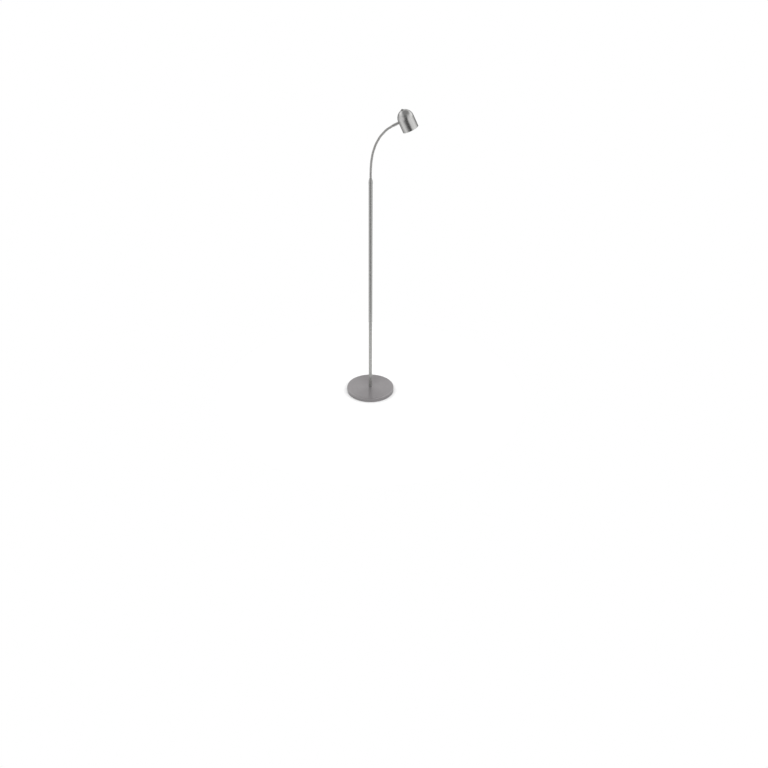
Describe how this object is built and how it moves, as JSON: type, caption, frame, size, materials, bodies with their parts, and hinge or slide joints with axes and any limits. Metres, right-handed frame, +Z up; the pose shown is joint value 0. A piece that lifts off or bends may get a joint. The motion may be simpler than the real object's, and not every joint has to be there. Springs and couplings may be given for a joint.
{
  "type": "gooseneck reading floor lamp",
  "caption": "Slim brushed-nickel floor lamp: round weighted base, straight pole, flexible gooseneck and a small domed shade with a push switch on its crown.",
  "frame": {"origin": "centre of the base pad's underside, on the pole's axis, at floor level", "axes": "+Z up along the pole; +X the way the neck bends and the head hangs; +Y to the back, where the cord inlet is"},
  "size_m": [0.3136, 0.2316, 1.3639],
  "materials": {
    "brushed_nickel": "satin brushed nickel plate on steel, grain round the base and along the pole and shade",
    "neck_steel": "satin nickel plated gooseneck winding",
    "cast_iron": "rough cast, dark primer",
    "pad_rubber": "matt foam rubber",
    "grommet_rubber": "satin moulded rubber",
    "plated_steel": "bright zinc plate",
    "white_plastic": "matt moulded",
    "opal_plastic": "satin opal acrylic",
    "led_phosphor": "satin yellow phosphor",
    "led_board_white": "white solder mask on aluminium",
    "sink_aluminium": "as cast, satin",
    "board_green": "satin solder mask",
    "component_black": "matt moulded",
    "lead_sheath": "satin PVC"
  },
  "bodies": {
    "stand": {"base_cover": "brushed_nickel", "base_weight": "cast_iron", "base_pad": "pad_rubber", "foot_washer": "plated_steel", "foot_nut": "plated_steel", "foot_nipple": "plated_steel", "cord_grommet": "grommet_rubber", "lead_connector": "white_plastic", "supply_lead": "lead_sheath", "pole_lower": "brushed_nickel", "pole_upper": "brushed_nickel", "pole_bushings": "plated_steel", "joint_nipple": "plated_steel", "pole_collar": "brushed_nickel", "neck_root": "brushed_nickel"},
    "link_01": {"neck_link_01": "neck_steel"},
    "link_02": {"neck_link_02": "neck_steel"},
    "link_03": {"neck_link_03": "neck_steel"},
    "link_04": {"neck_link_04": "neck_steel"},
    "link_05": {"neck_link_05": "neck_steel"},
    "link_06": {"neck_link_06": "neck_steel"},
    "link_07": {"neck_link_07": "neck_steel"},
    "link_08": {"neck_link_08": "neck_steel"},
    "link_09": {"neck_link_09": "neck_steel"},
    "link_10": {"neck_link_10": "neck_steel"},
    "link_11": {"neck_link_11": "neck_steel"},
    "link_12": {"neck_link_12": "neck_steel"},
    "link_13": {"neck_link_13": "neck_steel"},
    "link_14": {"neck_link_14": "neck_steel"},
    "link_15": {"neck_link_15": "neck_steel"},
    "link_16": {"neck_link_16": "neck_steel"},
    "link_17": {"neck_link_17": "neck_steel"},
    "link_18": {"neck_link_18": "neck_steel"},
    "link_19": {"neck_link_19": "neck_steel"},
    "link_20": {"neck_link_20": "neck_steel"},
    "head": {"neck_ferrule": "brushed_nickel", "neck_washer": "plated_steel", "neck_nut": "plated_steel", "neck_bracket": "plated_steel", "bracket_screws": "plated_steel", "shade_shell": "brushed_nickel", "bezel_ring": "white_plastic", "diffuser": "opal_plastic", "reflector": "white_plastic", "led_board": "led_board_white", "led_emitter": "led_phosphor", "heat_sink": "sink_aluminium", "led_wires": "lead_sheath", "board_standoffs": "plated_steel", "driver_board": "board_green", "driver_components": "component_black", "board_screws": "plated_steel", "lead_terminal": "white_plastic", "switch_wires": "lead_sheath", "switch_body": "component_black", "switch_washer": "plated_steel", "switch_ring": "brushed_nickel", "button_spring": "plated_steel"},
    "button": {"crown_button": "brushed_nickel"}
  },
  "joints": [
    {"name": "neck_lower_bend", "type": "hinge", "parent": "stand", "child": "link_01", "pos_m": [0, 0, 1.074], "axis": [0, 1, 0], "range_deg": [-7.5, 8.5], "deforming": ["supply_lead"]},
    {"name": "neck_lower_sway", "type": "hinge", "parent": "link_01", "child": "link_02", "pos_m": [0.00006, 0, 1.0867], "axis": [1, 0, -0.0051], "range_deg": [-7, 7]},
    {"name": "neck_bend_03", "type": "hinge", "parent": "link_02", "child": "link_03", "pos_m": [0.00013, 0, 1.0994], "axis": [0, 1, 0], "range_deg": [-7.7, 8.7]},
    {"name": "neck_bend_04", "type": "hinge", "parent": "link_03", "child": "link_04", "pos_m": [0.00047, 0, 1.1121], "axis": [0, 1, 0], "range_deg": [-7.7, 8.7]},
    {"name": "neck_sway_05", "type": "hinge", "parent": "link_04", "child": "link_05", "pos_m": [0.00125, 0, 1.12477], "axis": [0.9981, 0, -0.0616], "range_deg": [-7.2, 7.2]},
    {"name": "neck_bend_06", "type": "hinge", "parent": "link_05", "child": "link_06", "pos_m": [0.00203, 0, 1.13745], "axis": [0, 1, 0], "range_deg": [-7.7, 8.7]},
    {"name": "neck_middle_bend", "type": "hinge", "parent": "link_06", "child": "link_07", "pos_m": [0.00342, 0, 1.15007], "axis": [0, 1, 0], "range_deg": [-11, 8.5]},
    {"name": "neck_middle_sway", "type": "hinge", "parent": "link_07", "child": "link_08", "pos_m": [0.00555, 0, 1.16259], "axis": [0.9858, 0, -0.168], "range_deg": [-8, 8]},
    {"name": "neck_bend_09", "type": "hinge", "parent": "link_08", "child": "link_09", "pos_m": [0.00768, 0, 1.17511], "axis": [0, 1, 0], "range_deg": [-11.2, 8.7]},
    {"name": "neck_bend_10", "type": "hinge", "parent": "link_09", "child": "link_10", "pos_m": [0.01069, 0, 1.18745], "axis": [0, 1, 0], "range_deg": [-11.2, 8.7]},
    {"name": "neck_sway_11", "type": "hinge", "parent": "link_10", "child": "link_11", "pos_m": [0.0147, 0, 1.1995], "axis": [0.949, 0, -0.3153], "range_deg": [-8.2, 8.2]},
    {"name": "neck_bend_12", "type": "hinge", "parent": "link_11", "child": "link_12", "pos_m": [0.0187, 0, 1.21155], "axis": [0, 1, 0], "range_deg": [-11.2, 8.7]},
    {"name": "neck_upper_bend", "type": "hinge", "parent": "link_12", "child": "link_13", "pos_m": [0.0238, 0, 1.22319], "axis": [0, 1, 0], "range_deg": [-11.5, 6.5]},
    {"name": "neck_upper_sway", "type": "hinge", "parent": "link_13", "child": "link_14", "pos_m": [0.03004, 0, 1.23424], "axis": [0.8706, 0, -0.492], "range_deg": [-8, 8]},
    {"name": "neck_bend_15", "type": "hinge", "parent": "link_14", "child": "link_15", "pos_m": [0.03629, 0, 1.2453], "axis": [0, 1, 0], "range_deg": [-11.7, 6.7]},
    {"name": "neck_bend_16", "type": "hinge", "parent": "link_15", "child": "link_16", "pos_m": [0.04374, 0, 1.25559], "axis": [0, 1, 0], "range_deg": [-11.7, 6.7]},
    {"name": "neck_sway_17", "type": "hinge", "parent": "link_16", "child": "link_17", "pos_m": [0.05237, 0, 1.2649], "axis": [0.7334, 0, -0.6798], "range_deg": [-8.2, 8.2]},
    {"name": "neck_bend_18", "type": "hinge", "parent": "link_17", "child": "link_18", "pos_m": [0.061, 0, 1.27422], "axis": [0, 1, 0], "range_deg": [-11.7, 6.7]},
    {"name": "neck_bend_19", "type": "hinge", "parent": "link_18", "child": "link_19", "pos_m": [0.07078, 0, 1.28233], "axis": [0, 1, 0], "range_deg": [-11.7, 6.7]},
    {"name": "neck_sway_20", "type": "hinge", "parent": "link_19", "child": "link_20", "pos_m": [0.08159, 0, 1.28899], "axis": [0.5246, 0, -0.8513], "range_deg": [-8.2, 8.2]},
    {"name": "neck_bend_21", "type": "hinge", "parent": "link_20", "child": "head", "pos_m": [0.0924, 0, 1.29565], "axis": [0, 1, 0], "range_deg": [-11.7, 6.7]},
    {"name": "button_press", "type": "slide", "parent": "head", "child": "button", "axis": [0.4384, 0, -0.8988], "range_m": [0, 0.002], "stiffness_N_per_m": 300, "springref_m": -0.002, "deforming": ["button_spring"]}
  ],
  "couplings": [
    {"joint": "neck_bend_03", "follows": "neck_lower_bend", "ratio": 1},
    {"joint": "neck_bend_04", "follows": "neck_lower_bend", "ratio": 1},
    {"joint": "neck_sway_05", "follows": "neck_lower_sway", "ratio": 1},
    {"joint": "neck_bend_06", "follows": "neck_lower_bend", "ratio": 1},
    {"joint": "neck_bend_09", "follows": "neck_middle_bend", "ratio": 1},
    {"joint": "neck_bend_10", "follows": "neck_middle_bend", "ratio": 1},
    {"joint": "neck_sway_11", "follows": "neck_middle_sway", "ratio": 1},
    {"joint": "neck_bend_12", "follows": "neck_middle_bend", "ratio": 1},
    {"joint": "neck_bend_15", "follows": "neck_upper_bend", "ratio": 1},
    {"joint": "neck_bend_16", "follows": "neck_upper_bend", "ratio": 1},
    {"joint": "neck_sway_17", "follows": "neck_upper_sway", "ratio": 1},
    {"joint": "neck_bend_18", "follows": "neck_upper_bend", "ratio": 1},
    {"joint": "neck_bend_19", "follows": "neck_upper_bend", "ratio": 1},
    {"joint": "neck_sway_20", "follows": "neck_upper_sway", "ratio": 1},
    {"joint": "neck_bend_21", "follows": "neck_upper_bend", "ratio": 1}
  ]
}
